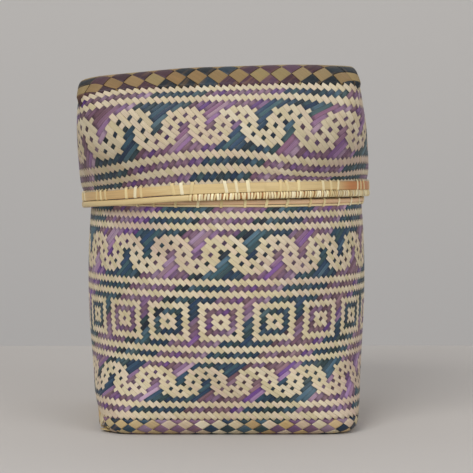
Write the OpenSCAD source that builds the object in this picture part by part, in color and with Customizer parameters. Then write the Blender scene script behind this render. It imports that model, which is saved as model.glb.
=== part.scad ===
// Woven bamboo box with a lift-off lid.
// The square base rises to a round mouth, and the round lid rises to a square, pillowed top.
// Millimetres. The origin is the middle of the base, where the box stands.

/* [Body] */
// Half the side of the square at the foot of the wall
base_half = 89.5; // [80:0.5:92]
// Squareness of the base, where 2 is round
base_square = 10; // [5:0.5:12]
// Outer radius of the round mouth
mouth_r = 98; // [92:0.5:100]
// How far the body's wall bulges beyond its mouth
belly_bulge = 2.2; // [1:0.1:6]
// Height where the body is widest
belly_z = 102; // [85:1:115]
// Height of the body's mouth
body_h = 160; // [145:1:190]
// Radius of the edge round the base
foot_r = 7; // [4:0.5:8]
// Thickness of a plaited wall
wall_t = 1.3; // [1.1:0.1:1.8]

/* [Liner and neck] */
// Thickness of the liner
liner_t = 1.2; // [1:0.1:1.6]
// Room between liner and outer wall
liner_gap = 0.75; // [0.7:0.05:1]
// Height of the neck above the body's mouth
neck_h = 48; // [30:1:54]
// Height of the hoops on the neck's mouth
neck_hoop_h = 4; // [3:0.5:6]
// Thickness of the neck's outer hoop
neck_outer_t = 0.8; // [0.6:0.1:1]
// Thickness of the neck's inner hoop
neck_inner_t = 1.4; // [1:0.1:2]
// Number of stitches round the neck
neck_stitches = 34; // [24:1:44]

/* [Body rim] */
// Height of the red-brown rim hoop
rim_hoop_h = 3.4; // [2.5:0.1:4]
// Thickness of the rim hoop
rim_hoop_t = 1.5; // [1:0.1:1.8]
// Height of the pale strip under the hoop
rim_strip_h = 1.5; // [1:0.1:2]
// Thickness of the pale strip
rim_strip_t = 0.8; // [0.5:0.1:1]
// Number of stitches round the rim
rim_stitches = 40; // [30:1:48]

/* [Lid] */
// Free play between the lid's mouth and the body's rim
lid_play = 1.45; // [1.2:0.05:2]
// How far the lid's wall bulges beyond its mouth
lid_bulge = 1.6; // [0.5:0.1:3]
// Height where the lid is widest
lid_belly_z = 28; // [20:1:35]
// Half the side of the lid's square top
top_half = 97.5; // [95:0.5:101]
// Squareness of the lid's top, where 2 is round
top_square = 8; // [5:0.5:10]
// Height of the lid's wall up to its rounded edge
lid_wall_h = 76; // [70:1:90]
// Radius of the edge round the lid's top
top_edge_r = 3.2; // [2:0.2:6]
// Slope of the pillowed top beside its edge, in degrees
pillow_slope = 48; // [40:1:54]
// Height of the pillowed top above its edge
pillow_h = 14; // [8:0.5:18]
// Sideways tilt of the lid as it sits, right side up, in degrees
lid_roll = 1.8; // [0:0.1:2]
// Forward tilt of the lid as it sits, front side up, in degrees
lid_pitch = 1.7; // [0:0.1:2.2]
// Sideways shift of the lid as it sits
lid_shift = -0.4; // [-0.4:0.1:0.4]

/* [Lid rim] */
// Height of the wide band
band_h = 6; // [5:0.5:7]
// Thickness of the wide band
band_t = 1.3; // [1:0.1:1.6]
// Length of the lap where the band's ends meet
band_lap = 25; // [15:1:30]
// Place of the lap, in degrees from the right-hand side
band_lap_at = -69.5; // [-180:0.5:180]
// Height of the edge hoop
edge_hoop_h = 4.1; // [3.5:0.1:4.4]
// Thickness of the edge hoop
edge_hoop_t = 1.2; // [0.9:0.1:1.4]
// Thickness of the strip wound round the edge
winding_t = 0.3; // [0.2:0.05:0.35]
// Height of the lid's inner hoop
inner_hoop_h = 3.6; // [3:0.1:4.5]
// Thickness of the lid's inner hoop
inner_hoop_t = 1.4; // [1.2:0.1:1.6]
// Height of the inner hoop's lower edge above the lid's edge
inner_hoop_z = 9.2; // [8.8:0.1:9.9]
// Number of groups of stitches round the band
band_groups = 17; // [12:1:20]
// Stitches in a group
group_stitches = 3; // [1:1:4]
// Angle between the stitches of a group, in degrees
group_step = 3.9; // [3:0.1:5]

/* [Lashing] */
// Width of a stitch
stitch_w = 1.8; // [1.2:0.1:2.2]
// Thickness of a stitch
stitch_t = 0.35; // [0.25:0.05:0.4]

/* [Hidden] */

$fn = 96;
// Flats round a plaited wall, set closer together towards the corners
sides = 72;
corner_pull = 0.45;
// Touching pieces stand this far apart
fit = 0.05;
// Moving pieces stand this far apart
clear = 0.3;
// The wall of each mouth runs straight for this height
body_straight = 8;
lid_straight = 14;
// How quickly the body's wall leaves the base's width, and how quickly it leaves the square
body_rise = 2.2;
body_rounding = 5;
// The body is round above this height
round_z = 102;
// Rings on the wall below and above its widest place, and on each rounded edge
low_rings = 6;
high_rings = 3;
edge_rings = 3;
// Rings on the lid's pillowed top, closer together towards its edge, and its flat middle
pillow_rings = 7;
pillow_spread = 1.8;
pillow_middle = 8;
// How gently the slope goes over to the level middle
pillow_soft = 3;
// A flat hoop's corners are eased by this part of its thickness
ease = 0.3;
// Gap between the rim hoop and the mouth's edge, and between hoop and strip
rim_drop = 0.4;
rim_step = 0.1;

belly_r = mouth_r + belly_bulge;
rim_hoop_z = body_h - rim_drop - rim_hoop_h;
rim_strip_z = rim_hoop_z - rim_step - rim_strip_h;
neck_top = body_h + neck_h;
neck_r = mouth_r - wall_t - liner_gap;
neck_hoop_z = neck_top - rim_drop - neck_hoop_h;

lid_in_r = mouth_r + rim_hoop_t + stitch_t + lid_play;
lid_r = lid_in_r + wall_t;
lid_belly_r = lid_r + lid_bulge;
edge_hoop_z = winding_t + fit;
band_z = edge_hoop_z + edge_hoop_h + winding_t + stitch_t + 4 * fit;
inner_hoop_r = lid_in_r - flat_drop(lid_in_r) - fit - inner_hoop_t;

// The stitches under the inner hoop's lowest point stand just clear of the body's stitches
lid_tilt = acos(cos(lid_roll) * cos(lid_pitch));
seat_z = body_h + clear + 2 * (fit + stitch_t);
lid_z = seat_z - inner_hoop_z * cos(lid_tilt) + (inner_hoop_r + inner_hoop_t) * sin(lid_tilt);

bamboo = [0.83, 0.76, 0.6];
plum = [0.47, 0.35, 0.5];
straw = [0.8, 0.7, 0.48];
rattan = [0.66, 0.46, 0.3];
lash = [0.88, 0.8, 0.64];

// Direction of a corner of the outline, in degrees
function direction(i) = 360 * i / sides + corner_pull * sin(1440 * i / sides) * 45 / PI;

// How far the widest flat lies inside the circle through its corners
function flat_drop(r) = r * (1 - cos(direction(1) / 2));

// Outline between a circle and a square
function outline(half, square) = [
    for (i = [0 : sides - 1])
        let (
            t = direction(i),
            r = half / pow(pow(abs(cos(t)), square) + pow(abs(sin(t)), square), 1 / square)
        )
        [r * cos(t), r * sin(t)]
];

// A profile is a list of half width, height and squareness, from the closed end to the mouth or back
function body_half(z) =
    z < belly_z
        ? base_half + (belly_r - base_half) * (1 - pow(1 - z / belly_z, body_rise))
        : belly_r - (belly_r - mouth_r) * pow(min(1, (z - belly_z) / (body_h - body_straight - belly_z)), 2);

function body_squareness(z) = 2 + (base_square - 2) * pow(max(0, 1 - z / round_z), body_rounding);

function body_station(z) = [body_half(z), z, body_squareness(z)];

body_profile = concat(
    [
        for (i = [0 : edge_rings - 1])
            let (a = 90 * i / edge_rings, z = foot_r * (1 - cos(a)))
            [body_half(foot_r) - foot_r * (1 - sin(a)), z, body_squareness(z)]
    ],
    [for (i = [0 : low_rings - 1]) body_station(foot_r + (belly_z - foot_r) * pow(i / low_rings, 1.3))],
    [
        for (i = [0 : high_rings])
            body_station(belly_z + (body_h - body_straight - belly_z) * i / high_rings)
    ],
    [body_station(body_h)]
);

function lid_half(z) =
    z < lid_straight ? lid_r
    : z < lid_belly_z ? lid_belly_r - lid_bulge * pow(1 - (z - lid_straight) / (lid_belly_z - lid_straight), 2)
    : lid_belly_r - (lid_belly_r - top_half) * pow((z - lid_belly_z) / (lid_wall_h - lid_belly_z), 1.5);

function lid_squareness(z) =
    2 + (top_square - 2) * pow(max(0, min(1, (z - lid_straight) / (lid_wall_h - lid_straight))), 2.4);

function lid_station(z) = [lid_half(z), z, lid_squareness(z)];

edge_turn = 90 - pillow_slope;
pillow_half = top_half - top_edge_r * (1 - cos(edge_turn));
pillow_z = lid_wall_h + top_edge_r * sin(edge_turn);

// Height of the pillowed top this far in from its edge
function pillow_rise(inwards) =
    -pillow_soft * ln(exp(-inwards * tan(pillow_slope) / pillow_soft) + exp(-pillow_h / pillow_soft));

lid_profile = concat(
    [lid_station(edge_hoop_z), lid_station(lid_straight)],
    [
        for (i = [1 : high_rings])
            lid_station(lid_straight + (lid_belly_z - lid_straight) * i / high_rings)
    ],
    [
        for (i = [1 : low_rings])
            lid_station(lid_belly_z + (lid_wall_h - lid_belly_z) * i / low_rings)
    ],
    [
        for (i = [1 : edge_rings])
            let (a = edge_turn * i / edge_rings)
            [top_half - top_edge_r * (1 - cos(a)), lid_wall_h + top_edge_r * sin(a), top_square]
    ],
    [
        for (i = [1 : pillow_rings])
            let (inwards = (pillow_half - pillow_middle) * pow(i / pillow_rings, pillow_spread))
            [pillow_half - inwards, pillow_z + pillow_rise(inwards), top_square]
    ]
);

// A profile moved towards the inside of the basket
function inset(profile, depth) = [
    for (i = [0 : len(profile) - 1])
        let (
            before = profile[max(0, i - 1)],
            after = profile[min(len(profile) - 1, i + 1)],
            step = [after[0] - before[0], after[1] - before[1]],
            way = i == 0 && before[1] < fit && step[0] > fit ? [0, 1] : [-step[1], step[0]] / norm(step)
        )
        [profile[i][0] + way[0] * depth, profile[i][1] + way[1] * depth, profile[i][2]]
];

function turned(list) = [for (i = [len(list) - 1 : -1 : 0]) list[i]];

function lowered(profile, drop) = [for (p = profile) [p[0], p[1] - drop, p[2]]];

// The part of a profile below a height, then straight up to the top
function with_neck(profile, r, top) = concat(
    [for (p = profile) if (p[1] < body_h - body_straight + fit) p],
    [[r, top, 2]]
);

// A closed skin through rings that lead from one flat end to the other
module skin(profile) {
    last = len(profile) - 1;
    rings = [for (p = profile) for (q = outline(p[0], p[2])) [q[0], q[1], p[1]]];
    middles = [for (p = [profile[0], profile[last]]) [0, 0, p[1]]];
    walls = [
        for (k = [0 : last - 1])
            for (i = [0 : sides - 1])
                let (
                    a = k * sides + i,
                    b = k * sides + (i + 1) % sides,
                    c = a + sides,
                    d = b + sides
                )
                for (face = [[a, c, d], [a, d, b]])
                    face
    ];
    ends = [
        for (i = [0 : sides - 1])
            let (j = (i + 1) % sides, far = last * sides, middle = len(rings))
            for (face = [[middle, i, j], [middle + 1, far + j, far + i]])
                face
    ];
    polyhedron(points = concat(rings, middles), faces = concat(walls, ends), convexity = 6);
}

// A flat hoop with eased corners
module flat_hoop(r, z, t, h) {
    e = t * ease;
    rotate_extrude()
        translate([r, z])
            polygon([[0, 0], [t - e, 0], [t, e], [t, h - e], [t - e, h], [0, h]]);
}

// A split rattan hoop, flat on the side that lies on the wall
module half_round_hoop(r, z, t, h) {
    round_r = (t * t + h * h / 4) / (2 * t);
    rotate_extrude()
        translate([r, z])
            intersection() {
                translate([t - round_r, h / 2])
                    circle(r = round_r);
                square([t, h]);
            }
}

// One stitch round everything between two radii and two heights
module stitch(r_in, r_out, z_low, z_high) {
    e = stitch_t * 0.7;
    x0 = r_in - stitch_t;
    x1 = r_out + stitch_t;
    y0 = z_low - stitch_t;
    y1 = z_high + stitch_t;
    rotate([90, 0, 0])
        linear_extrude(stitch_w, center = true)
            difference() {
                polygon([
                    [x0 + e, y0], [x1 - e, y0], [x1, y0 + e], [x1, y1 - e],
                    [x1 - e, y1], [x0 + e, y1], [x0, y1 - e], [x0, y0 + e]
                ]);
                translate([r_in, z_low])
                    square([r_out - r_in, z_high - z_low]);
            }
}

// One stitch round the lid's band and inner hoop, slanting up through the wall between their lower edges
module band_stitch() {
    e = stitch_t * 0.7;
    x0 = inner_hoop_r - fit;
    x1 = inner_hoop_r + inner_hoop_t;
    x2 = lid_r + band_t + 2 * fit;
    y0 = inner_hoop_z - fit;
    y1 = band_z - fit;
    y2 = max(band_z + band_h, inner_hoop_z + inner_hoop_h) + fit;
    t = stitch_t;
    rotate([90, 0, 0])
        linear_extrude(stitch_w, center = true)
            difference() {
                polygon([
                    [x0 - t + e, y0 - t], [x1 - t / 2, y0 - t], [lid_r - t / 2, y1 - t],
                    [x2 + t - e, y1 - t], [x2 + t, y1 - t + e], [x2 + t, y2 + t - e],
                    [x2 + t - e, y2 + t], [x0 - t + e, y2 + t], [x0 - t, y2 + t - e], [x0 - t, y0 - t + e]
                ]);
                polygon([[x0, y0], [x1, y0], [lid_r, y1], [x2, y1], [x2, y2], [x0, y2]]);
            }
}

// The lid as it sits on the body
module seated() {
    translate([lid_shift, 0, lid_z])
        rotate([-lid_pitch, -lid_roll, 0])
            children();
}

// Plaited outer basket
module body_basket() {
    color(plum)
        skin(concat(body_profile, turned(inset(body_profile, wall_t))));
}

// Plain inner basket whose upper part is the neck
module body_liner() {
    drop = liner_gap - fit;
    outer = with_neck(lowered(inset(body_profile, wall_t + liner_gap), drop), neck_r, neck_top);
    inner = with_neck(
        lowered(inset(body_profile, wall_t + liner_gap + liner_t), drop), neck_r - liner_t, neck_top
    );
    color(bamboo)
        skin(concat(outer, turned(inner)));
}

// Red-brown hoop outside the body's mouth
module rim_hoop() {
    color(rattan)
        half_round_hoop(mouth_r + fit, rim_hoop_z, rim_hoop_t, rim_hoop_h);
}

// Pale strip under the rim hoop
module rim_strip() {
    color(lash)
        flat_hoop(mouth_r + fit, rim_strip_z, rim_strip_t, rim_strip_h);
}

// Single stitches over the body's edge
module rim_lashing() {
    in_r = mouth_r - wall_t - flat_drop(mouth_r) - fit;
    color(lash)
        for (i = [0 : rim_stitches - 1])
            rotate([0, 0, 360 * i / rim_stitches])
                stitch(in_r, mouth_r + rim_hoop_t + 2 * fit, rim_strip_z - fit, body_h + fit);
}

// Thin hoop outside the neck's mouth
module neck_outer_hoop() {
    color(straw)
        flat_hoop(neck_r + fit, neck_hoop_z, neck_outer_t, neck_hoop_h);
}

// Hoop inside the neck's mouth
module neck_inner_hoop() {
    in_r = neck_r - liner_t - flat_drop(neck_r) - fit - neck_inner_t;
    color(straw)
        flat_hoop(in_r, neck_hoop_z, neck_inner_t, neck_hoop_h);
}

// Stitches over the neck's edge
module neck_lashing() {
    in_r = neck_r - liner_t - flat_drop(neck_r) - neck_inner_t - 2 * fit;
    color(lash)
        for (i = [0 : neck_stitches - 1])
            rotate([0, 0, 360 * i / neck_stitches])
                stitch(in_r, neck_r + neck_outer_t + 2 * fit, neck_hoop_z - fit, neck_top + fit);
}

// Plaited lid with its pillowed top
module lid_basket() {
    color(plum)
        seated()
            skin(concat(turned(inset(lid_profile, wall_t)), lid_profile));
}

// Wide flat hoop whose tapered ends lap
module lid_band() {
    r = lid_r + fit;
    middle = r + band_t / 2;
    aside = middle * band_t / band_lap;
    color(straw)
        seated()
            difference() {
                flat_hoop(r, band_z, band_t, band_h);
                rotate([0, 0, band_lap_at])
                    intersection() {
                        translate([middle - band_lap, -band_lap, 0])
                            cube([2 * band_lap, 2 * band_lap, 4 * band_h]);
                        translate([0, aside, 0])
                            difference() {
                                cylinder(r = middle + fit, h = 4 * band_h);
                                translate([0, 0, -1])
                                    cylinder(r = middle - fit, h = 4 * band_h + 2);
                            }
                    }
            }
}

// Hoop inside the lid, which rests on the body's rim
module lid_inner_hoop() {
    color(straw)
        seated()
            flat_hoop(inner_hoop_r, inner_hoop_z, inner_hoop_t, inner_hoop_h);
}

// Groups of stitches round band, wall and inner hoop
module lid_band_lashing() {
    color(lash)
        seated()
            for (i = [0 : band_groups - 1])
                for (k = [0 : group_stitches - 1])
                    rotate([0, 0, 360 * i / band_groups + group_step * (k - (group_stitches - 1) / 2)])
                        band_stitch();
}

// Narrow hoop on the lid's edge
module lid_edge_hoop() {
    color(straw)
        seated()
            half_round_hoop(lid_r + fit, edge_hoop_z, edge_hoop_t, edge_hoop_h);
}

// Strip wound closely round the edge hoop and the lid's edge
module lid_edge_winding() {
    x0 = lid_in_r - flat_drop(lid_in_r) - fit;
    x1 = lid_r + edge_hoop_t + 2 * fit;
    y1 = edge_hoop_z + edge_hoop_h + fit;
    color(lash)
        seated()
            rotate_extrude()
                polygon([
                    [x0 - winding_t, 0], [x1, 0], [x1 + winding_t, winding_t], [x1 + winding_t, y1],
                    [x1, y1 + winding_t], [lid_r + fit, y1 + winding_t], [lid_r + fit, y1],
                    [x1, y1], [x1, winding_t], [x0, winding_t], [x0, y1], [x0 - winding_t, y1]
                ]);
}

body_basket();
body_liner();
rim_hoop();
rim_strip();
rim_lashing();
neck_outer_hoop();
neck_inner_hoop();
neck_lashing();
lid_basket();
lid_band();
lid_inner_hoop();
lid_band_lashing();
lid_edge_hoop();
lid_edge_winding();
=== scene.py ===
import math

import bmesh
import bpy
import numpy as np
from mathutils import Matrix, Vector


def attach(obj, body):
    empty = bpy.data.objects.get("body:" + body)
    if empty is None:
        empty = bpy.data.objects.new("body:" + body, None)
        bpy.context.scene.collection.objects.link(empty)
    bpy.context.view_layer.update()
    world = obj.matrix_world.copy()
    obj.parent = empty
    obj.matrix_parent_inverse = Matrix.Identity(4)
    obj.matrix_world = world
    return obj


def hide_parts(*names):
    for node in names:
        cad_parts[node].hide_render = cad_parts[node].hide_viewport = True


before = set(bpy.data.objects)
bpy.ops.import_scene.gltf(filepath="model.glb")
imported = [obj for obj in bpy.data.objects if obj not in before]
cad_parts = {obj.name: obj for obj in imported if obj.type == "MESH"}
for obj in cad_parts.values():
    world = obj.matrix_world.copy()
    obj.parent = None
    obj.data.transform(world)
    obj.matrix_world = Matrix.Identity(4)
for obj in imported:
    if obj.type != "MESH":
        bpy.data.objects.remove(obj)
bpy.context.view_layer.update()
rng = np.random.default_rng(17)
MM = 0.001

# Sizes of the solids, in millimetres
BASE_HALF, BASE_SQUARE, FOOT_R = 89.5, 10.0, 7.0
MOUTH_R, BELLY_R, BELLY_Z, BODY_H = 98.0, 100.2, 102.0, 160.0
NECK_R, NECK_TOP = 95.95, 208.0
LID_R, LID_BELLY_R, LID_BELLY_Z, LID_STRAIGHT = 102.6, 104.2, 28.0, 14.0
TOP_HALF, TOP_SQUARE, LID_WALL_H, TOP_EDGE_R = 96.4, 11.0, 76.0, 3.2
PILLOW_SLOPE, PILLOW_H, PILLOW_SOFT = math.radians(56), 12.9, 4.0
LINER_GAP, WALL_T, LINER_T = 0.75, 1.3, 1.2
LID_ROLL, LID_PITCH, LID_SHIFT = math.radians(1.8), math.radians(1.7), -0.4
INNER_HOOP_R, INNER_HOOP_T, INNER_HOOP_Z, INNER_HOOP_H = 99.65, 1.4, 9.2, 3.6
BAND_Z, BAND_H, BAND_T = 5.3, 6.0, 1.3
EDGE_Z, EDGE_H, EDGE_T = 0.35, 4.1, 1.2
STITCH_T = 0.35
SEAT_Z = BODY_H + 0.3 + 2 * (0.05 + STITCH_T)
TILT = math.acos(math.cos(LID_ROLL) * math.cos(LID_PITCH))
LID_Z = SEAT_Z - INNER_HOOP_Z * math.cos(TILT) + (INNER_HOOP_R + INNER_HOOP_T) * math.sin(TILT)

# Strips each way round the wall, and half the depth of the plait under the solid's skin
BODY_STRIPS, LID_STRIPS, LINER_STRIPS = 136, 144, 60
PLAIT_DEPTH = 0.62
# How far round the middle strip of each pattern starts
BODY_START, LID_START = 0.744, 0.7368
# How much of its place a narrow strip fills
NATURAL_COVER, DYED_COVER = 0.972, 0.95
# Painted light and shade on strips that show for one crossing, for two or three, and for more
NATURAL_PAINTED_LIGHTS, DYED_PAINTED_LIGHTS = (1.0, 1.0, 0.97), (0.3, 0.8, 1.06)
# Painted shade where a dyed strip goes under a natural one again
DYED_DIVING_PAINTED_SHADE = 0.5
# Squares to a side of the lid's top
TOP_SQUARES = 14

lid_seat = (
    Matrix.Translation((LID_SHIFT, 0, LID_Z))
    @ Matrix.Rotation(-LID_ROLL, 4, "Y")
    @ Matrix.Rotation(-LID_PITCH, 4, "X")
)


# Forms of the baskets

def body_half(z):
    rise = 1 - np.clip(1 - z / BELLY_Z, 0, 1) ** 2.2
    low = BASE_HALF + (BELLY_R - BASE_HALF) * rise
    fall = np.clip((z - BELLY_Z) / (BODY_H - 8 - BELLY_Z), 0, 1) ** 2
    half = np.where(z < BELLY_Z, low, BELLY_R - (BELLY_R - MOUTH_R) * fall)
    under = np.clip(FOOT_R - z, 0, FOOT_R)
    return half - FOOT_R + np.sqrt(FOOT_R**2 - under**2)


def body_square(z):
    return 2 + (BASE_SQUARE - 2) * np.clip(1 - z / BELLY_Z, 0, 1) ** 5


def lid_half(z):
    swell = np.clip((z - LID_STRAIGHT) / (LID_BELLY_Z - LID_STRAIGHT), 0, 1)
    low = LID_BELLY_R - (LID_BELLY_R - LID_R) * (1 - swell) ** 2
    fall = np.clip((z - LID_BELLY_Z) / (LID_WALL_H - LID_BELLY_Z), 0, 1) ** 1.5
    high = LID_BELLY_R - (LID_BELLY_R - TOP_HALF) * fall
    over = np.clip(z - LID_WALL_H, 0, TOP_EDGE_R)
    return np.where(z < LID_BELLY_Z, low, high) - TOP_EDGE_R + np.sqrt(TOP_EDGE_R**2 - over**2)


def lid_square(z):
    return 2 + (TOP_SQUARE - 2) * np.clip((z - LID_STRAIGHT) / (LID_WALL_H - LID_STRAIGHT), 0, 1) ** 2.4


# Steps of the table of outlines: to each unit of squareness, and round an outline
SQUARE_STEPS, ROUND_STEPS = 8, 720


def girth_table():
    """Direction at equal steps round outlines from round to square."""
    turn = np.linspace(0, 2 * np.pi, 2881)
    rows = []
    for square in np.linspace(2, 12, 10 * SQUARE_STEPS + 1):
        r = (np.abs(np.cos(turn)) ** square + np.abs(np.sin(turn)) ** square) ** (-1 / square)
        steps = np.hypot(np.diff(r * np.cos(turn)), np.diff(r * np.sin(turn)))
        along = np.concatenate([[0], np.cumsum(steps)])
        rows.append(np.interp(np.linspace(0, 1, ROUND_STEPS + 1), along / along[-1], turn))
    return np.array(rows)


GIRTH = girth_table()


def direction(part, square):
    """Direction, in radians, a given part of the way round an outline."""
    part = np.asarray(part, float)
    whole = np.floor(part)
    i = np.clip((np.asarray(square, float) - 2) * SQUARE_STEPS, 0, 10 * SQUARE_STEPS - 0.001)
    j = (part - whole) * ROUND_STEPS
    i0, j0 = i.astype(int), np.minimum(j.astype(int), ROUND_STEPS - 1)
    fi, fj = i - i0, j - j0
    low = GIRTH[i0, j0] * (1 - fj) + GIRTH[i0, j0 + 1] * fj
    high = GIRTH[i0 + 1, j0] * (1 - fj) + GIRTH[i0 + 1, j0 + 1] * fj
    return 2 * np.pi * whole + low * (1 - fi) + high * fi


def on_outline(turn, half, square, z):
    r = half / (np.abs(np.cos(turn)) ** square + np.abs(np.sin(turn)) ** square) ** (1 / square)
    return np.stack([r * np.cos(turn), r * np.sin(turn), np.broadcast_to(z, r.shape)], -1)


def body_wall(part, z):
    # The strips stand a little closer on the front and back towards the base
    close = 0.11 * np.clip((77 - z) / 45, 0, 1)
    part = part - close * np.sin(4 * np.pi * (part - 0.75)) / (4 * np.pi)
    square = body_square(z)
    return stand(on_outline(direction(part, square), body_half(z) - PLAIT_DEPTH, square, z))


def stand(points):
    """The foot of the box stands a little to the right, with its left edge worn rounder."""
    x, z = points[..., :1], points[..., 2:]
    worn = 3.4 * smooth(-x, 60, 92) * (1 - smooth(z, 3, 26))
    return points + np.array([1, 0, 0]) * (0.9 * np.clip(1 - z / 70, 0, 1) + worn)


def smooth(x, low, high):
    t = np.clip((x - low) / (high - low), 0, 1)
    return t * t * (3 - 2 * t)


def settle(points):
    """The worn lid leans over to the left, and its rows hang lower towards both front corners."""
    x, y, z = points[..., 0], points[..., 1], points[..., 2]
    left = by_height(z, 1.9 * smooth(-x, 15, 92), (
        (8.2 * smooth(-x, 15, 100), 8, 26),
        (7.0 * np.clip((-x - 55) / 50, 0, 1) ** 2, 40, 62),
        (3.2 * smooth(-x, 10, 85) + 1.5 * smooth(-x, 78, 96), 75, 82)))
    right = by_height(z, 0.0, (
        (7.4 * smooth(x, 0, 70) - 2.2 * smooth(x, 78, 98), 8, 26),
        (6.0 * smooth(x, 40, 95), 32, 60),
        (1.2 * smooth(x, 40, 90), 64, 78)))
    return np.stack([x - 2.8 * (np.clip(z, 0, 100) / 85) ** 1.5, y, z - left - right], -1)


def by_height(z, value, changes):
    """A value that goes over to another one in each given span of heights."""
    for other, low, high in changes:
        value = value + (other - value) * smooth(z, low, high)
    return value


def lid_wall(part, z):
    # The strips stand closer on the front and back towards the top
    close = 0.15 * smooth(z, 20, 56)
    part = part - close * np.sin(4 * np.pi * (part - 0.757)) / (4 * np.pi) + 0.009 * smooth(z, 50, 74)
    square = lid_square(z)
    return on_outline(direction(part, square), lid_half(z) - PLAIT_DEPTH, square, z)


def liner_wall(part, z):
    low = np.clip(z, 0, BODY_H - 8)
    drop = WALL_T + LINER_GAP + 0.6
    square = body_square(low + 2)
    return on_outline(direction(part, square), body_half(low + 2) - drop, square, z)


def unit(v):
    return v / np.maximum(np.linalg.norm(v, axis=-1, keepdims=True), 1e-9)


# Strips of bamboo as meshes

def linear(*rgb):
    c = np.asarray(rgb, float) / 255
    return np.where(c <= 0.04045, c / 12.92, ((c + 0.055) / 1.055) ** 2.4)


def ribbon(centre, side, up, half_w, thick, crown=0.12):
    """Three points across a strip's upper side, and the two under its edges."""
    right = side * np.broadcast_to(half_w, len(centre))[:, None]
    top, low = centre + up * thick / 2, centre - up * thick / 2
    eased = top - up * min(crown, thick * 0.4)
    return np.stack([eased - right, top, eased + right], 1), np.stack([low + right, low - right], 1)


LANE_STEP = 1.08


class Strips:
    """Many thin strips that become one mesh, with a tint and a run of grain on each."""

    def __init__(self, across=3):
        self.across, self.round = across, across + 2
        self.points, self.faces, self.lanes = [], [], []
        self.tint, self.grain = [], []
        self.count = 0
        self.strips = 0

    def add(self, top, low, tint):
        """One strip, from the points across its upper side and the two under its edges."""
        n, m = len(top), self.round
        self.points.append(np.concatenate([top, low], 1).reshape(-1, 3))
        middle = top[:, self.across // 2]
        along = np.concatenate([[0], np.cumsum(np.linalg.norm(np.diff(middle, axis=0), axis=1))])
        aside = np.cumsum(np.linalg.norm(np.diff(top, axis=1), axis=-1), 1)
        aside = np.concatenate([np.zeros((n, 1)), aside], 1) - aside[:, -1:] / 2
        grain = np.empty((n, m, 3))
        grain[..., 0] = along[:, None] * 0.1
        grain[..., 1] = np.concatenate([aside, aside[:, -1:], aside[:, :1]], 1)
        grain[..., 2] = rng.uniform(0, 40)
        self.grain.append(grain.reshape(-1, 3))
        self.tint.append(np.repeat(np.broadcast_to(tint, (n, 3)), m, axis=0))
        start = self.count + m * np.arange(n - 1)[:, None]
        k = np.arange(m)[None, :]
        after = (k + 1) % m
        quads = np.stack([start + k, start + m + k, start + m + after, start + after], -1).reshape(-1, 4)
        self.faces.extend(quads.tolist())
        share = along / max(along[-1], 1e-6)
        lanes = np.concatenate([np.linspace(0, 0.72, self.across), [0.8, 0.96, 1.0]])
        u0, u1 = np.repeat(share[:-1], m), np.repeat(share[1:], m)
        v0, v1 = np.tile(lanes[:m], n - 1), np.tile(lanes[1:], n - 1)
        lane = np.stack([
            np.stack([u0, v0], -1), np.stack([u1, v0], -1), np.stack([u1, v1], -1), np.stack([u0, v1], -1)
        ], 1)
        last = self.count + m * (n - 1)
        self.faces.append([self.count + i for i in range(m)])
        self.faces.append([last + i for i in range(m - 1, -1, -1)])
        cap = np.stack([np.zeros(m), np.linspace(0, 0.95, m)], -1)
        lane = np.concatenate([lane.reshape(-1, 2), cap, cap[::-1]])
        lane[:, 1] += self.strips * LANE_STEP
        self.lanes.append(lane)
        self.count += m * n
        self.strips += 1

    def piece(self, name, body, node, slot, finish, seat=None):
        points = np.concatenate(self.points)
        mesh = bpy.data.meshes.new(name)
        mesh.from_pydata((seated(points, seat) * MM).tolist(), [], self.faces)
        mark(mesh, np.clip(np.concatenate(self.tint), 0, 1), np.concatenate(self.grain))
        lanes = np.concatenate(self.lanes)
        lanes[:, 1] /= self.strips * LANE_STEP
        uv = mesh.uv_layers.new(name="OFBake")
        uv.uv.foreach_set("vector", lanes.astype(np.float32).ravel())
        ends = np.empty(len(mesh.edges) * 2, np.int32)
        mesh.edges.foreach_get("vertices", ends)
        place = ends.reshape(-1, 2) % self.round
        sharp = mesh.attributes.new("sharp_edge", "BOOLEAN", "EDGE")
        inner = (place[:, 0] > 0) & (place[:, 0] < self.across - 1)
        sharp.data.foreach_set("value", (place[:, 0] == place[:, 1]) & ~inner)
        dress(bpy.data.objects.new(name, mesh), body, node, finish)


def mark(mesh, tint, grain):
    """Smooth faces, with a tint and a run of grain at each point."""
    colour = np.concatenate([tint, np.ones((len(tint), 1))], 1)
    for name, kind, key, values in (
        ("tint", "FLOAT_COLOR", "color", colour),
        ("grain", "FLOAT_VECTOR", "vector", grain),
    ):
        layer = mesh.attributes.new(name, kind, "POINT")
        layer.data.foreach_set(key, values.astype(np.float32).ravel())
    mesh.polygons.foreach_set("use_smooth", np.ones(len(mesh.polygons), bool))


def seated(points, seat):
    """Points of the lid where it sits; other points as they are."""
    if seat is None:
        return points
    turn = np.array(seat)
    return settle(points) @ turn[:3, :3].T + turn[:3, 3]


def dress(piece, body, node, finish):
    bpy.context.scene.collection.objects.link(piece)
    piece.data.materials.append(finish)
    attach(piece, body)
    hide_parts(node)


# Finishes

class Flow:
    """A value or colour on its way through a finish."""

    def __init__(self, finish, socket):
        self.finish, self.socket = finish, socket

    def _sum(self, operation, first, second):
        return self.finish.node("ShaderNodeMath", {"operation": operation}, {0: first, 1: second})

    def __add__(self, other):
        return self._sum("ADD", self, other)

    def __sub__(self, other):
        return self._sum("SUBTRACT", self, other)

    def __mul__(self, other):
        return self._sum("MULTIPLY", self, other)


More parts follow.
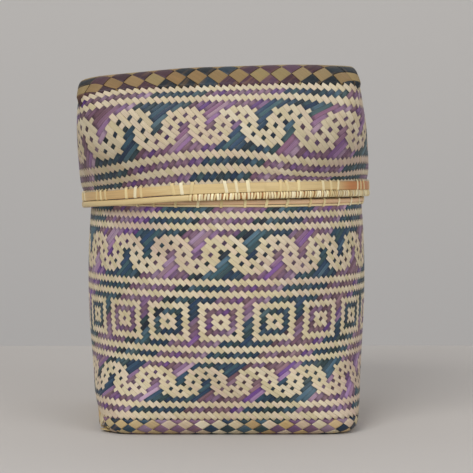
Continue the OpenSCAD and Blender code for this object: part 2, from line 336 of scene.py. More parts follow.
class Finish:
    """A material whose nodes are written as plain steps."""

    def __init__(self, name):
        self.material = bpy.data.materials.new(name)
        self.material.use_nodes = True
        self.tree = self.material.node_tree
        self.shader = next(n for n in self.tree.nodes if n.type == "BSDF_PRINCIPLED")

    def node(self, kind, settings, sockets, out=0):
        made = self.tree.nodes.new(kind)
        for key, value in settings.items():
            setattr(made, key, value)
        for key, value in sockets.items():
            self.put(made.inputs[key], value)
        return Flow(self, made.outputs[out])

    def put(self, socket, value):
        if isinstance(value, Flow):
            self.tree.links.new(value.socket, socket)
        else:
            socket.default_value = value

    def attribute(self, name, out):
        return self.node("ShaderNodeAttribute", {"attribute_name": name}, {}, out)

    def noise(self, where, stretch, detail=2.0, roughness=0.5):
        spot = self.node("ShaderNodeVectorMath", {"operation": "MULTIPLY"}, {0: where, 1: stretch})
        return self.node(
            "ShaderNodeTexNoise", {}, {"Vector": spot, "Scale": 1.0, "Detail": detail, "Roughness": roughness}
        )

    def ramp(self, value, low, high):
        return self.node("ShaderNodeMapRange", {"interpolation_type": "SMOOTHSTEP"},
                         {"Value": value, "From Min": low, "From Max": high})

    def mix(self, first, second, share):
        return self.node("ShaderNodeMix", {"data_type": "RGBA"}, {0: share, 6: first, 7: second}, 2)

    def shade(self, colour, value):
        return self.node("ShaderNodeVectorMath", {"operation": "SCALE"}, {0: colour, "Scale": value})


def rgba(*rgb):
    return (*[float(x) for x in linear(*rgb)], 1.0)


def bamboo(name, fibre=0.5, fade=0.25, faded=(205, 190, 155), rough=0.5, sheen=0.35, relief=0.35, worn=0.0,
           scratch=0.0):
    """Split bamboo or rattan: long fibres, a tint that fades along the strip, and a low gloss."""
    f = Finish(name)
    tint = f.attribute("tint", "Color")
    grain = f.attribute("grain", "Vector")
    long = f.noise(grain, (0.35, 2.6, 3.1), 3.0, 0.6)
    fine = f.noise(grain, (1.2, 9.0, 5.7), 2.0, 0.6)
    patch = f.noise(grain, (0.3, 0.25, 1.7), 2.0, 0.5)
    pale = f.mix(tint, rgba(*faded), f.ramp(patch, 0.5, 0.78) * fade)
    if worn:
        pale = f.mix(pale, rgba(96, 66, 40), f.ramp(fine, 0.6, 0.8) * worn)
    if scratch:
        thin = f.noise(grain, (0.22, 7.5, 9.3), 1.0, 0.4)
        pale = f.mix(pale, rgba(*faded), f.ramp(thin, 0.66, 0.74) * scratch)
    streak = (long - 0.5) * (2.0 * fibre) + (fine - 0.5) * fibre + 1.0
    f.put(f.shader.inputs["Base Color"], f.shade(pale, streak))
    f.put(f.shader.inputs["Roughness"], long * 0.3 + (rough - 0.15))
    f.shader.inputs["Specular IOR Level"].default_value = sheen
    bump = f.node("ShaderNodeBump", {}, {
        "Strength": relief, "Distance": 0.0003, "Height": long * 0.6 + fine * 0.4})
    f.put(f.shader.inputs["Normal"], bump)
    return f.material


natural_finish = bamboo("natural_bamboo", 0.28, 0.35, (196, 172, 122), 0.5, 0.3, 0.3)
purple_finish = bamboo("purple_dyed_bamboo", 0.5, 0.35, (186, 156, 158), 0.42, 0.4, 0.3, 0.0, 0.5)
teal_finish = bamboo("teal_dyed_bamboo", 0.5, 0.3, (126, 142, 138), 0.42, 0.4, 0.3, 0.0, 0.4)
wide_finish = bamboo("wide_bamboo_strips", 0.3, 0.3, (170, 130, 80), 0.45, 0.35, 0.35)
liner_finish = bamboo("plain_liner_bamboo", 0.25, 0.3, (190, 160, 105), 0.55, 0.3, 0.3)
band_finish = bamboo("split_bamboo_hoop", 0.3, 0.45, (186, 140, 84), 0.42, 0.4, 0.35, 0.25)
rattan_finish = bamboo("brown_rattan_hoop", 0.4, 0.45, (150, 108, 72), 0.4, 0.45, 0.4, 0.2)
lash_finish = bamboo("pale_rattan_lashing", 0.25, 0.4, (205, 165, 105), 0.45, 0.35, 0.3)

CREAM = [linear(*c) for c in (
    (222, 208, 176), (212, 197, 158), (224, 205, 180), (204, 192, 150), (217, 194, 168), (230, 218, 190))]
MEAN_CREAM = np.mean(CREAM, axis=0)
PURPLE = [linear(*c) for c in (
    (136, 102, 142), (156, 124, 162), (124, 88, 114), (180, 152, 174), (116, 84, 94), (146, 110, 136),
    (114, 74, 148), (144, 112, 122))]
TEAL = [linear(*c) for c in (
    (54, 82, 100), (44, 66, 92), (62, 94, 104), (49, 68, 75), (76, 104, 120), (38, 48, 63), (54, 76, 78),
    (38, 60, 86))]


def pick(palette, spread=0.12):
    first, second = rng.integers(0, len(palette), 2)
    share = rng.uniform(0, 0.5)
    return (palette[first] * (1 - share) + palette[second] * share) * (1 + rng.uniform(-spread, spread))


# The pattern: where a natural strip lies on top

SCROLL_HOLES = ((0, 0), (3, 1), (4, 4), (5, 7), (8, 8), (11, 7), (12, 4), (13, 1))
SCROLL_BAYS = ((1, 3), (15, 3), (7, 5), (9, 5))


def scroll_table():
    """Natural or dyed, by row and by place in one turn of the running scroll."""
    table = np.zeros((13, 16), bool)
    for row in range(13):
        for column in range(16):
            gaps = [
                max(abs((column - c + 8) % 16 - 8), abs(row - 2 - r))
                for c, r in SCROLL_HOLES
            ]
            table[row, column] = 0 < min(gaps) <= 2 and (column, row - 2) not in SCROLL_BAYS
    return table


SCROLL = scroll_table()


def scroll(column, row, first_row, first_column):
    k = row - first_row + 2
    inside = (k >= 0) & (k <= 12)
    return inside & SCROLL[np.clip(k, 0, 12), (column - first_column) % 16]


def body_natural_on_top(column, row):
    away = np.abs(row)
    lines = np.isin(away, (9, 10, 13, 14, 32, 33, 36, 37))
    folded = np.abs((column + 8) % 16 - 8)
    ring = np.maximum(folded, away)
    squares = (away <= 8) & np.isin(ring, (1, 2, 5, 6))
    return lines | squares | scroll(column, row, 19, 9) | scroll(column, row, -27, 3)


def lid_natural_on_top(column, row):
    lines = np.isin(row, (-4, -3, 0, 1, 4, 5, 23, 24, 27, 28))
    return lines | scroll(column, row, 10, 0)


def body_row_table():
    rows = np.arange(-45, 45.01, 0.05)
    steps = 1.53 + 0.425 * smooth(rows, -18, -8) + 0.28 * smooth(-rows, 26, 33)
    z = np.concatenate([[0], np.cumsum((steps[1:] + steps[:-1]) / 2 * 0.05)])
    return rows, z - np.interp(0, rows, z) + 77.8


BODY_ROWS, BODY_HEIGHTS = body_row_table()


def body_row(row):
    return np.interp(row, BODY_ROWS, BODY_HEIGHTS)


LID_ROWS = (-9, -3.5, 0.5, 4.5, 7.5, 20.5, 23.5, 27.5, 31)
LID_HEIGHTS = (-4.0, 10.4, 21.4, 31.0, 37.5, 62.0, 68.1, 74.6, 79.7)


def lid_row(row):
    """Height of a row on the lid, evened out over the rows next to it."""
    nearby = (-1.6, -0.8, 0.0, 0.8, 1.6)
    return sum(np.interp(row + d, LID_ROWS, LID_HEIGHTS) for d in nearby) / len(nearby)


# Runs of purple and teal strips, from the strip they start at
BODY_DYES = (-38, (10, 8, 8, 8, 8, 8, 9, 8, 9, 8, 9, 8, 9, 8, 9, 9))
LID_DYES = (-22, (0, 8, 12, 9, 14, 9, 13, 9, 13, 9, 13, 8, 9, 7, 11))


def dye_of(strip, dyes):
    """Name of a strip's dye."""
    start, runs = dyes
    place = (strip - start) % sum(runs)
    run = int(np.searchsorted(np.cumsum(runs), place, "right"))
    return ("purple", "teal")[run % 2]


LIFT = 0.33


def crossings(over, low, high, lights=(1.0, 1.0, 1.0), diving_painted_shade=1.0):
    """Places along a strip, in rows, with its height there and the painted light and shade on its tint.

    The painted lights are those of a strip that shows for one crossing, for two or three, and for more;
    where it goes under again it is darker by the last factor, a painted shade."""
    first = math.ceil(low + 0.4)
    edges = np.flatnonzero(np.diff(np.concatenate([[0], over, [0]])))
    runs = np.concatenate([np.full(b - a, b - a) for a, b in zip(edges[:-1], edges[1:])])
    rows, lifts, light = [low], [LIFT * over[0]], [1.0]
    for k in range(first, math.floor(high - 0.4) + 1):
        i = k - first
        if over[i] < 0:
            rows.append(k)
            lifts.append(-LIFT)
            # Painted shade where the strip lies under another
            light.append(0.6)
            continue
        # A strip that shows for one crossing only is pressed in between its neighbours; its painted shade there is
        # the first factor
        alone = runs[i] == 1
        inside = 0 < i < len(over) - 1 and over[i - 1] > 0 and over[i + 1] > 0
        places = [k] if inside else [k - 0.3, k + 0.3]
        rows.extend(places)
        lifts.extend(len(places) * [LIFT * (0.4 if alone else 1.0)])
        painted_shine = len(places) * [lights[0] if alone else lights[1] if runs[i] < 4 else lights[2]]
        if not alone and i > 0 and over[i - 1] < 0:
            painted_shine[0] *= diving_painted_shade
        if not alone and i < len(over) - 1 and over[i + 1] < 0:
            painted_shine[-1] *= diving_painted_shade
        light.extend(painted_shine)
    rows.append(high)
    lifts.append(lifts[-1])
    light.append(light[-1])
    return np.array(rows, float), np.array(lifts), np.array(light)


BLED = linear(178, 142, 146)


def bleed_share(points):
    """Patches of the wall where dye has run into the natural strips."""
    x, y, z = np.moveaxis(points, -1, 0) / 10
    wave = np.sin(0.55 * x + 0.31 * z + 1.3) + np.sin(0.47 * y - 0.52 * z)
    return smooth(wave + np.sin(0.9 * z + 0.35 * x - 0.4 * y), 0.6, 2.4)


def lay(strips, wall, row_height, start, lean, along, tint, count, cover=0.93, thick=0.5, bleed=0.0):
    """One strip that climbs the wall, leaning right (1) or left (-1)."""
    rows, lifts, light = along

    def spot(r, shift=0.0):
        return wall(start + (lean * r + shift) / (2 * count), row_height(r))
    centre = spot(rows)
    way = unit(spot(rows + 0.2) - spot(rows - 0.2))
    gap = spot(rows, 1.0) - spot(rows, -1.0)
    gap = gap - way * np.sum(gap * way, -1, keepdims=True)
    side = unit(gap)
    up = unit(np.cross(way, side))
    up = up * np.sign(np.sum(up * (centre - [0, 0, 60]) * [1, 1, 0.2], -1, keepdims=True))
    side = np.cross(up, way)
    width = np.linalg.norm(gap, axis=-1) * 0.5 * cover
    wander = 1 + rng.uniform(-0.03, 0.02)
    # Painted light and shade along the strip, multiplied into its tint
    tint = tint * light[:, None]
    if bleed:
        tint = tint + (bleed_share(centre) * bleed)[:, None] * (BLED - tint)
    strips.add(*ribbon(centre + up * lifts[:, None], side, up, width * wander, thick), tint)


def plait(wall, row_height, natural_on_top, low, high, start, dyes, count, painted_shade=1.0):
    """The narrow strips of a wall: natural ones lean left, dyed ones lean right."""
    natural, purple, teal = Strips(), Strips(), Strips()
    kinds = {"purple": (purple, PURPLE), "teal": (teal, TEAL)}
    for strip in range(-count // 2, count // 2):
        ends = rng.uniform(-0.1, 0.1, 4)
        for lean, bottom, top in ((-1, low + ends[0], high + ends[1]), (1, low + ends[2], high + ends[3])):
            rows = np.arange(math.ceil(bottom + 0.4), math.floor(top - 0.4) + 1)
            covered = natural_on_top(2 * strip + lean * rows, rows)
            over = np.where(covered == (lean < 0), 1, -1)
            if lean < 0:
                along = crossings(over, bottom, top, NATURAL_PAINTED_LIGHTS)
                # The natural strips' tint is scaled by the painted shade
                strips, tint = natural, (0.65 * pick(CREAM, 0.08) + 0.35 * MEAN_CREAM) * painted_shade
            else:
                along = crossings(over, bottom, top, DYED_PAINTED_LIGHTS, DYED_DIVING_PAINTED_SHADE)
                strips, palette = kinds[dye_of(strip, dyes)]
                tint = pick(palette, 0.2)
            lay(strips, wall, row_height, start + strip / count, lean, along, tint, count,
                NATURAL_COVER if lean < 0 else DYED_COVER, bleed=0.4 * (lean < 0))
    return natural, purple, teal


# The lid's strips and the wide strips are painted a little darker than the body's: painted shade
LID_PAINTED_SHADE, BASE_PAINTED_SHADE, TOP_PAINTED_SHADE = 0.88, 0.86, [0.46, 0.44, 0.43]

body_plait = plait(body_wall, body_row, body_natural_on_top, -38.2, 41.5, BODY_START, BODY_DYES, BODY_STRIPS)
lid_plait = plait(
    lid_wall, lid_row, lid_natural_on_top, -6.8, 28.5, LID_START, LID_DYES, LID_STRIPS, LID_PAINTED_SHADE)
finishes = (natural_finish, purple_finish, teal_finish)
for name, strips, finish in zip(("natural", "purple", "teal"), body_plait, finishes):
    strips.piece("body_" + name + "_strips", "box", "body_basket", "plaited_bamboo", finish)
for name, strips, finish in zip(("natural", "purple", "teal"), lid_plait, finishes):
    strips.piece("lid_" + name + "_strips", "lid", "lid_basket", "plaited_bamboo", finish, lid_seat)


# The wide strips of the base and of the lid's top

STRAW = [linear(*c) for c in ((206, 176, 118), (196, 164, 110), (214, 190, 138), (188, 150, 96), (200, 178, 122))]
# The dyes of the lid's top, far darker than the walls' dyes: painted shade on the top
TOP_DYES_PAINTED_SHADE = {
    "purple": [linear(*c) for c in ((74, 46, 56), (64, 39, 44), (86, 58, 76), (58, 35, 47))],
    "teal": [linear(*c) for c in ((26, 35, 40), (21, 28, 32), (33, 49, 60), (29, 40, 43))],
}
# The base's dyes, darkened like its natural strips where the foot turns under: painted shade
SHADED = {"purple": [0.76 * c for c in PURPLE], "teal": [0.84 * c for c in TEAL]}


def top_profile():
    """Half width and height of the lid's top by distance from its middle, and its edge's distance."""
    turn = np.pi / 2 - PILLOW_SLOPE
    pillow = TOP_HALF - TOP_EDGE_R * (1 - math.cos(turn))
    half = pillow * np.linspace(0, 1, 160) ** 0.6
    slope = np.exp(-(pillow - half) * math.tan(PILLOW_SLOPE) / PILLOW_SOFT)
    rise = -PILLOW_SOFT * np.log(slope + math.exp(-PILLOW_H / PILLOW_SOFT))
    z = LID_WALL_H + TOP_EDGE_R * math.sin(turn) + rise
    a = np.linspace(turn, 0, 12)[1:]
    edge = np.stack([TOP_HALF - TOP_EDGE_R * (1 - np.cos(a)), LID_WALL_H + TOP_EDGE_R * np.sin(a)])
    down = np.linspace(LID_WALL_H, 66, 8)[1:]
    halves = np.concatenate([half, edge[0], lid_half(down)])
    heights = np.concatenate([z, edge[1], down])
    along = np.concatenate([[0], np.cumsum(np.hypot(np.diff(halves), np.diff(heights)))])
    return along, halves, heights, along[len(half) - 1]


def wide_places(low, high, step):
    """Places along a wide strip, six to each crossing."""
    crossing = np.arange(math.floor(2 * low / step - 0.5), math.ceil(2 * high / step - 0.5) + 1)
    places = (crossing[:, None] + 0.5 + np.array([-0.46, -0.3, -0.1, 0.1, 0.3, 0.46])).ravel() * step / 2
    return places[(places > low) & (places < high)]


def lay_wide(strips, spot, t, k, family, step, tint, facing, tuck):
    """One wide strip of a plain plait along the places t; its end is tucked in between two distances."""
    other = np.round(2 * t / step - 0.5).astype(int)
    lift = np.where((other + k) % 2 == (0 if family == 1 else 1), LIFT, -LIFT) * 1.25
    top, low = [], []
    for share in (-1.0, -0.5, 0.0, 0.5, 1.0):
        aside = share * 0.955 * step / 4
        here, row = spot(t, aside)
        way = spot(t + 0.2, aside)[0] - spot(t - 0.2, aside)[0]
        up = unit(np.cross(way, spot(t, aside + 0.2)[0] - spot(t, aside - 0.2)[0]))
        away = here * [1, 1, 0] / 100 + [0, 0, facing]
        up = up * np.where(np.sum(up * away, -1, keepdims=True) > 0, 1, -1)
        height = lift - 0.65 - 1.9 * smooth(row, *tuck)
        top.append(here + up * (height + 0.22 - 0.08 * share**2)[:, None])
        if abs(share) == 1:
            low.append(here + up * (height - 0.22)[:, None])
    strips.add(np.stack(top, 1), np.stack(low[::-1], 1), tint)


def two_dyes(t, dyed, plain, ends, dyes, palette):
    """Tints along a wide strip: natural, and dyed towards each end like the narrow strips there."""
    tint = np.empty((len(t), 3))
    for here, end in ((t < 0, ends[0]), (t >= 0, ends[1])):
        dye = pick(palette[dye_of(round(end), dyes)], 0.15)
        tint[here] = np.where(dyed[here, None], dye, plain)
    return tint


def part_round(x, y, square):
    """How far round an outline a direction lies."""
    girth = GIRTH[int((square - 2) * SQUARE_STEPS)]
    return np.interp(np.arctan2(y, x) % (2 * np.pi), girth, np.linspace(0, 1, ROUND_STEPS + 1))


def top_plait():
    """The lid's top: each strip is dyed where it runs towards one pair of sides."""
    along, halves, heights, edge = top_profile()
    step, reach = 2 * (edge - 0.3) / TOP_SQUARES, edge + 4.6
    strips = Strips(5)
    for family in (1, -1):
        for k in range(-18, 18):
            q = (k + 0.5) * step

            def lattice(t, aside):
                x, y = t + q / 2 + aside, family * (t - q / 2 - aside)
                row = (np.abs(x) ** TOP_SQUARE + np.abs(y) ** TOP_SQUARE) ** (1 / TOP_SQUARE)
                return x, y, np.maximum(row, 1e-3)

            def spot(t, aside):
                x, y, row = lattice(t, aside)
                scale = np.interp(row, along, halves) / row
                x, y = x * scale, y * scale
                # The slopes at the left and right are steeper than at the front and back
                inward = TOP_HALF - np.abs(x)
                steeper = np.where(x < 0, 0.84, 0.8) * smooth(np.abs(x) - np.abs(y), -4, 14)
                steeper = steeper * np.exp(-((np.maximum(inward, 0) / 30) ** 2))
                x = np.sign(x) * (TOP_HALF - inward * (1 - steeper))
                return np.stack([x, y, np.interp(row, along, heights)], -1), row

            t = wide_places(-2 * reach, 2 * reach, step)
            x, y, row = lattice(t, 0.0)
            kept = row < reach + rng.uniform(-0.4, 0.4)
            if kept.sum() < 6:
                continue
            t, x, y = t[kept], x[kept], y[kept]
            dyed = (np.abs(y) > np.abs(x)) == (family == 1)
            ends = [(part_round(x[i], y[i], TOP_SQUARE) - LID_START) * LID_STRIPS - 15 for i in (0, -1)]
            tint = two_dyes(t, dyed, pick(STRAW, 0.1) * TOP_PAINTED_SHADE, ends, LID_DYES, TOP_DYES_PAINTED_SHADE)
            lay_wide(strips, spot, t, k, family, step, tint, 1.2, (edge + 0.6, edge + 3.0))
    return strips


BASE_PITCH, BASE_EDGE = 11.8, 88.5
BASE_LIMIT = 116.0
BASE_ROWS = ((BASE_EDGE, 94.4, 100.3, 106.2, 112.1, 118.0, 124.0), (0.0, 1.3, 4.0, 7.7, 11.2, 14.4, 17.6))


def base_plait():
    """The base: strips lie straight across the flat square and turn up round its edge on to the wall."""
    flat = float(body_half(np.array(0.0)))
    strips = Strips(5)
    for family in (1, -1):
        for k in range(-15, 15):
            q = (k + 0.5) * BASE_PITCH
            span = BASE_EDGE - abs(q) / 2
            if span < BASE_PITCH * 0.2:
                continue

            def leaves(t):
                """Where the strip crosses the edge of the flat, and whether at the front or back."""
                end = np.where(t < 0, -span, span)
                x, y = end + q / 2, family * (end - q / 2)
                return x, y, np.abs(y) >= np.abs(x)

            def on_base(t, aside):
                """How far out a place on the strip is, and how far round."""
                x0, y0, front = leaves(t)
                x, y = t + q / 2 + aside, family * (t - q / 2 - aside)
                row = np.where(front, np.sign(y0) * y, np.sign(x0) * x)
                onward = np.where(front, -np.sign(y0) * x, np.sign(x0) * y)
                quarter = np.where(front, np.where(y0 > 0, 0.25, 0.75), np.where(x0 > 0, 0.0, 0.5))
                return x, y, row, quarter, onward

            def spot(t, aside):
                x, y, row, quarter, onward = on_base(t, aside)
                z = np.interp(row, *BASE_ROWS)
                part = quarter + onward / (8 * BASE_EDGE)
                wall = on_outline(direction(part, body_square(z)), body_half(z), body_square(z), z)
                out = np.maximum(np.maximum(np.abs(x), np.abs(y)), 1e-3)
                part = quarter + np.clip(onward / out, -1, 1) / 8
                edge = on_outline(direction(part, BASE_SQUARE), flat * out / BASE_EDGE, BASE_SQUARE, 0 * x)
                flat_spot = np.stack([x, y, 0 * x], -1) * flat / BASE_EDGE
                share = smooth(out, 45, BASE_EDGE)[:, None]
                ground = flat_spot * (1 - share) + edge * share
                return stand(np.where(row[:, None] > BASE_EDGE, wall, ground)), row

            reach = span + BASE_LIMIT - BASE_EDGE
            t = wide_places(-reach, reach, BASE_PITCH)
            dyed = leaves(t)[2] == (family == -1)
            middle = np.abs(t) < abs(q) / 2
            x, y = t + q / 2, family * (t - q / 2)
            dyed = np.where(middle, (np.abs(y) > np.abs(x)) == (family == -1), dyed)
            ends = []
            for end in (-span, span):
                quarter, onward = on_base(np.array([end]), 0.0)[3:]
                ends.append(float(quarter[0] + onward[0] / (8 * BASE_EDGE) - BODY_START) * BODY_STRIPS + 25)
            plain = pick(CREAM + STRAW[:2], 0.08) * BASE_PAINTED_SHADE
            tint = two_dyes(t, dyed, plain, ends, BODY_DYES, SHADED)
            lay_wide(strips, spot, t, k, family, BASE_PITCH, tint, -1.2, (110.4, 113.0))
    return strips


base_plait().piece("base_wide_strips", "box", "body_basket", "plaited_bamboo", wide_finish)
top_plait().piece("lid_top_wide_strips", "lid", "lid_basket", "plaited_bamboo", wide_finish, lid_seat)


# The liner with its neck

def liner_row(row):
    return 4.0 + 4.6 * row


liner = Strips()
liner_rows = np.arange(1, 44)
for strip in range(LINER_STRIPS):
    for lean in (1, -1):
        over = np.where((liner_rows + (lean < 0)) % 2 == 0, 1, -1)
        lay(liner, liner_wall, liner_row, strip / LINER_STRIPS, lean, crossings(over, 0.4, 43.75),
            pick(STRAW + CREAM, 0.06), LINER_STRIPS, 0.95, 0.4)
liner.piece("liner_wall_strips", "box", "body_liner", "plain_bamboo", liner_finish)

FLOOR_PITCH, FLOOR_HALF, FLOOR_Z = 14.0, 84.5, 2.85
liner_floor = Strips(5)
for family in (1, -1):
    for k in range(-12, 12):
        q = (k + 0.5) * FLOOR_PITCH
        reach = FLOOR_HALF - abs(q) / 2

        def on_floor(t, aside):
            x, y = t + q / 2 + aside, family * (t - q / 2 - aside)
            return np.stack([x, y, 0 * t + FLOOR_Z], -1), 0 * t

        if reach > 4:
            lay_wide(liner_floor, on_floor, wide_places(-reach, reach, FLOOR_PITCH), k, family, FLOOR_PITCH,
                     pick(STRAW + CREAM, 0.06), 5.0, (1, 2))
liner_floor.piece("liner_floor_strips", "box", "body_liner", "plain_bamboo", liner_finish)


# Hoops, lashing and winding

def ring(name, section, r, z, tint, body, node, slot, finish, seat=None, wobble=0.1, steps=360, start=0.0,
         turn=2 * np.pi, shape=None):
    """A hoop with the given section; shape can move it as it goes round."""
    closed = shape is None
    section = np.asarray(section, float)
    m = len(section)
    t = start + np.linspace(0, turn, steps, endpoint=not closed)
    phase = rng.uniform(0, 6.28, 4)
    sway = wobble * (np.sin(5 * t + phase[0]) + 0.6 * np.sin(11 * t + phase[1]))
    dr = np.broadcast_to(section[None, :, 0], (len(t), m)) + 0.0
    dz = np.broadcast_to(section[None, :, 1], (len(t), m)) + sway[:, None]
    if shape:
        dr, dz = shape((t - start)[:, None], dr, dz)
    points = np.stack([(r + dr) * np.cos(t)[:, None], (r + dr) * np.sin(t)[:, None], z + dz], -1)
    faces = []
    last = len(t) if closed else len(t) - 1
    for i in range(last):
        a, b = i * m, (i + 1) % len(t) * m
        faces.extend([a + k, b + k, b + (k + 1) % m, a + (k + 1) % m] for k in range(m))
    if not closed:
        faces.append(list(range(m - 1, -1, -1)))
        faces.append([(len(t) - 1) * m + k for k in range(m)])
    mesh = bpy.data.meshes.new(name)
    mesh.from_pydata((seated(points.reshape(-1, 3), seat) * MM).tolist(), [], faces)
    work = bmesh.new()
    work.from_mesh(mesh)
    bmesh.ops.recalc_face_normals(work, faces=work.faces)
    work.to_mesh(mesh)
    work.free()
    grain = np.stack([np.broadcast_to((t * r * 0.1)[:, None], (len(t), m)),
                      np.broadcast_to(section[None, :, 1], (len(t), m)),
                      np.broadcast_to(section[None, :, 0] + 5.0, (len(t), m))], -1)
    tint = tint(t) if callable(tint) else tint
    colour = np.broadcast_to(tint, (len(t), 3))[:, None, :].repeat(m, 1)
    mark(mesh, colour.reshape(-1, 3), grain)
    mesh.set_sharp_from_angle(angle=math.radians(40))
    dress(bpy.data.objects.new(name, mesh), body, node, finish)


def flat_section(t, h):
    e = min(t, h) * 0.3
    return [(0, 0), (t - e, 0), (t, e), (t, h - e), (t - e, h), (0, h)]


def half_round_section(t, h, n=9):
    a = np.linspace(-np.pi / 2, np.pi / 2, n)
    return [(t * math.cos(x) ** 0.8 if abs(math.cos(x)) > 1e-6 else 0.0, h / 2 + h / 2 * math.sin(x)) for x in a]


def eased(path):
    """A closed path with its corners cut twice."""
    path = np.asarray(path, float)
    for _ in range(2):
        after = np.roll(path, -1, 0)
        path = np.stack([path * 0.78 + after * 0.22, path * 0.22 + after * 0.78], 1).reshape(-1, 2)
    return path


def bind(strips, path, turn, slant, width, thick, tint):
    """One stitch: a thin strip round a closed path of radius and height, leaning as it comes to the front."""
    path = np.concatenate([path, path[:1]])
    low, high = path[:, 1].min(), path[:, 1].max()
    share = (path[:, 1] - low) / (high - low) - 0.5
    front = np.clip((path[:, 0] - path[:, 0].min()) / np.ptp(path[:, 0]), 0, 1)
    t = turn + slant * share * front
    out = np.stack([np.cos(t), np.sin(t), 0 * t], -1)
    centre = out * path[:, :1] + np.array([0, 0, 1]) * path[:, 1:]
    way = unit(np.roll(centre, -1, 0) - np.roll(centre, 1, 0))
    way[0] = way[-1] = unit(centre[1] - centre[-2])
    across = np.stack([-np.sin(t), np.cos(t), 0 * t], -1)
    across = unit(across - way * np.sum(across * way, -1, keepdims=True))
    up = np.cross(way, across)
    middle = np.array([path[:, 0].mean(), path[:, 1].mean()])
    away = out * (path[:, :1] - middle[0]) + np.array([0, 0, 1]) * (path[:, 1:] - middle[1])
    if np.sum(up * away) < 0:
        across = -across
        up = -up
    strips.add(*ribbon(centre, across, up, width / 2, thick, 0.1), tint)


# The rattan hoop is tinted paler than its own colour, to make up for the shade that falls on it: painted light
hoop_tint = linear(238, 200, 158)
strip_tint = linear(240, 220, 172)
bamboo_tint = linear(219, 193, 139)
LASH = [linear(*c) for c in ((246, 232, 188), (238, 220, 166), (230, 206, 150), (248, 236, 198))]


def turned(t, low, high, soft=6.0):
    """One between two directions, in degrees, and nothing elsewhere."""
    a = (np.degrees(t) - low) % 360
    return smooth(a, -0.01, soft) * (1 - smooth(a, high - low - soft, high - low + 0.01))


def band_tint(t):
    """Golden, with brown stains at the left and the right."""
    left = 0.4 * turned(t, -170, -112, 16)[:, None] * (linear(196, 144, 86) - bamboo_tint)
    right = turned(t, -46, -2, 14)[:, None] * (linear(196, 130, 78) - bamboo_tint)
    return bamboo_tint + left + right


def edge_tint(t):
    """Brown under the winding and pale where the winding is lost."""
    brown, pale = linear(178, 124, 74), linear(222, 198, 144)
    return brown + turned(t, 183, 258, 2)[:, None] * (pale - brown)


BAND_LOW = 0.45
LAP = 25.0 / 103.0
LAP_AT = math.radians(-69.5)


def lapped(t, dr, dz):
    """The band's ends thin out where they lap; the outer end narrows to its tip."""
    full = 2 * np.pi
    begin = np.clip(t / LAP, 0.04, 1)
    finish = np.clip((full + LAP - t) / LAP, 0.06, 1)
    on_top = np.clip((t - full) / LAP, 0, 1)
    dr = np.where(t < LAP, dr * begin, np.where(t > full, BAND_T * on_top + 0.05 + dr * finish * 0.9, dr))
    tip = np.clip((t - (full + LAP * 0.35)) / (LAP * 0.65), 0, 1) ** 1.6
    dz = np.where(t > full, dz - (dz - 0.9) * 0.62 * tip * np.clip(dz / BAND_H, 0, 1), dz)
    return dr, dz


ring("lid_band_hoop", flat_section(BAND_T, BAND_H + BAND_LOW), LID_R + 0.05, BAND_Z - BAND_LOW, band_tint, "lid",
     "lid_band", "straw_bamboo", band_finish, lid_seat, 0.12, 420, LAP_AT - LAP / 2, 2 * np.pi + LAP, lapped)
ring("lid_edge_hoop_strip", half_round_section(EDGE_T, EDGE_H), LID_R + 0.05, EDGE_Z, edge_tint, "lid",
     "lid_edge_hoop", "straw_bamboo", band_finish, lid_seat, 0.08)
ring("lid_inner_hoop_strip", flat_section(INNER_HOOP_T, INNER_HOOP_H), INNER_HOOP_R, INNER_HOOP_Z, bamboo_tint,
     "lid", "lid_inner_hoop", "straw_bamboo", band_finish, lid_seat, 0.04)
ring("rim_hoop_rattan", half_round_section(1.5, 3.4), MOUTH_R + 0.05, BODY_H - 3.8, hoop_tint, "box", "rim_hoop",
     "brown_rattan", rattan_finish, None, 0.06)
ring("rim_pale_strip", half_round_section(0.8, 1.5, 7), MOUTH_R + 0.05, BODY_H - 5.4, strip_tint, "box", "rim_strip",
     "pale_rattan", lash_finish, None, 0.08)
NECK_HOOP_Z = NECK_TOP - 0.4 - 4.0
ring("neck_outer_hoop_strip", flat_section(0.8, 4.0), NECK_R + 0.05, NECK_HOOP_Z, bamboo_tint, "box",
     "neck_outer_hoop", "straw_bamboo", band_finish, None, 0.03)
NECK_IN_R = NECK_R - LINER_T - 0.25 - 1.4
ring("neck_inner_hoop_strip", flat_section(1.4, 4.0), NECK_IN_R, NECK_HOOP_Z, bamboo_tint, "box",
     "neck_inner_hoop", "straw_bamboo", band_finish, None, 0.03)

# Single stitches round the body's rim
rim_path = eased([(96.2, -5.7), (98.9, -5.8), (99.2, -4.4), (99.85, -2.1), (99.5, -0.2), (98.4, 0.25),
                  (96.4, 0.25), (96.0, -1.0)]) + [0, BODY_H]
rim_stitches = Strips()
for i in range(40):
    turn = 2 * np.pi * i / 40 - 0.038 + rng.normal(0, 0.008)
    bind(rim_stitches, rim_path, turn, rng.normal(0.006, 0.006), rng.uniform(1.7, 2.1), 0.32, pick(LASH, 0.06))
rim_stitches.piece("rim_stitches", "box", "rim_lashing", "pale_rattan", lash_finish)

# Stitches round the neck's mouth
neck_path = eased([(92.7, -4.6), (97.0, -4.6), (97.05, -2.4), (97.0, 0.2), (92.7, 0.2),
                   (92.65, -2.4)]) + [0, NECK_TOP]
neck_stitches = Strips()
for i in range(34):
    turn = 2 * np.pi * i / 34 + rng.normal(0, 0.006)
    bind(neck_stitches, neck_path, turn, 0.01, 1.8, 0.32, pick(LASH, 0.06))
neck_stitches.piece("neck_stitches", "box", "neck_lashing", "pale_rattan", lash_finish)

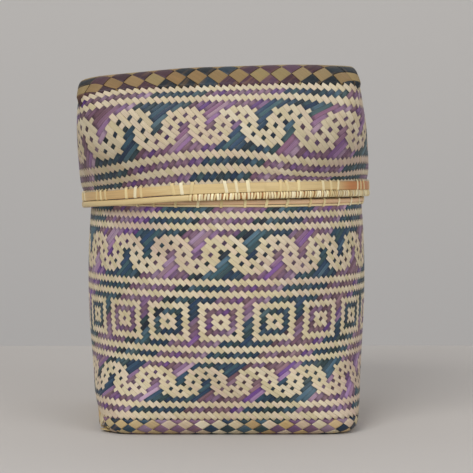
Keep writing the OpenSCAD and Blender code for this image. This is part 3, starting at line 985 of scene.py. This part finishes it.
# Stitches in threes round the lid's band
band_path = eased([(99.45, 8.95), (101.0, 8.85), (102.7, 4.75), (104.05, 4.7), (104.15, 8.0), (104.1, 11.2),
                   (103.6, 12.7), (102.0, 13.0), (99.5, 13.0), (99.4, 11.0)])
band_stitches = Strips()
threes = np.concatenate([-146 + 20.0 * np.arange(6), -46 + 260 / 12 * np.arange(1, 12)])
for middle in np.radians(threes):
    for k in (-1, 0, 1):
        turn = middle + math.radians(3.7) * k + rng.normal(0, 0.006)
        bind(band_stitches, band_path, turn, rng.normal(-0.004, 0.012), rng.uniform(1.9, 2.4), 0.32,
             pick(LASH, 0.06))
band_stitches.piece("lid_band_stitches", "lid", "lid_band_lashing", "pale_rattan", lash_finish, lid_seat)

# The fine strip wound round the lid's edge
edge_path = eased([(100.9, 0.15), (103.6, 0.12), (104.05, 1.0), (104.2, 2.4), (104.05, 3.8), (103.5, 4.65),
                   (101.6, 4.66), (100.95, 4.0)])[::2]
winding = Strips()
pitch = 2.05 / 104.0
turns = int(2 * np.pi / pitch)
for i in range(turns):
    turn = 2 * np.pi * i / turns + rng.normal(0, 0.0022)
    if math.radians(184) < turn < math.radians(257):
        continue
    bind(winding, edge_path, turn, rng.normal(0.006, 0.006), rng.uniform(1.15, 1.6), 0.26, pick(LASH, 0.14))
winding.piece("lid_edge_wound_strip", "lid", "lid_edge_winding", "pale_rattan", lash_finish, lid_seat)


# Floor, backdrop, light and camera

def plane(name, corners, colour, rough):
    mesh = bpy.data.meshes.new(name)
    mesh.from_pydata(corners, [], [(0, 1, 2, 3)])
    made = bpy.data.objects.new(name, mesh)
    bpy.context.scene.collection.objects.link(made)
    f = Finish(name + "_finish")
    f.shader.inputs["Base Color"].default_value = colour
    f.shader.inputs["Roughness"].default_value = rough
    f.shader.inputs["Specular IOR Level"].default_value = 0.2
    made.data.materials.append(f.material)


plane("floor", [(-3, -3, 0), (3, -3, 0), (3, 0.44, 0), (-3, 0.40, 0)], rgba(200, 195, 189), 0.7)
plane("backdrop", [(-4, 1.3, -1.5), (4, 1.3, -1.5), (4, 1.3, 3), (-4, 1.3, 3)], rgba(208, 204, 198), 0.9)


def softbox(name, place, aim, size, power):
    lamp = bpy.data.lights.new(name, "AREA")
    lamp.shape = "RECTANGLE"
    lamp.size, lamp.size_y = size
    lamp.energy = power
    made = bpy.data.objects.new(name, lamp)
    made.location = place
    made.rotation_euler = (Vector(aim) - Vector(place)).to_track_quat("-Z", "Y").to_euler()
    bpy.context.scene.collection.objects.link(made)


softbox("key_light", (-0.9, -1.6, 1.7), (0, 0, 0.12), (1.4, 1.2), 30)
softbox("fill_light", (1.3, -1.3, 0.9), (0, 0, 0.12), (1.2, 1.2), 11)
softbox("back_light", (0.2, 0.5, 1.7), (0, 1.3, 0.45), (2.4, 0.8), 5)

world = bpy.data.worlds.new("studio")
bpy.context.scene.world = world
world.use_nodes = True
world.node_tree.nodes["Background"].inputs["Color"].default_value = (0.9, 0.92, 1.0, 1)
world.node_tree.nodes["Background"].inputs["Strength"].default_value = 0.35

camera = bpy.data.cameras.new("camera")
camera.lens, camera.sensor_width = 120.4, 36.0
camera.shift_x = 10.0 / 473
camera.clip_end = 20
view = bpy.data.objects.new("camera", camera)
view.location = (0, -1.150, 0.188)
view.rotation_euler = (math.radians(90 - 2.88), 0, 0)
bpy.context.scene.collection.objects.link(view)
bpy.context.scene.camera = view
bpy.context.scene.view_settings.view_transform = "Standard"
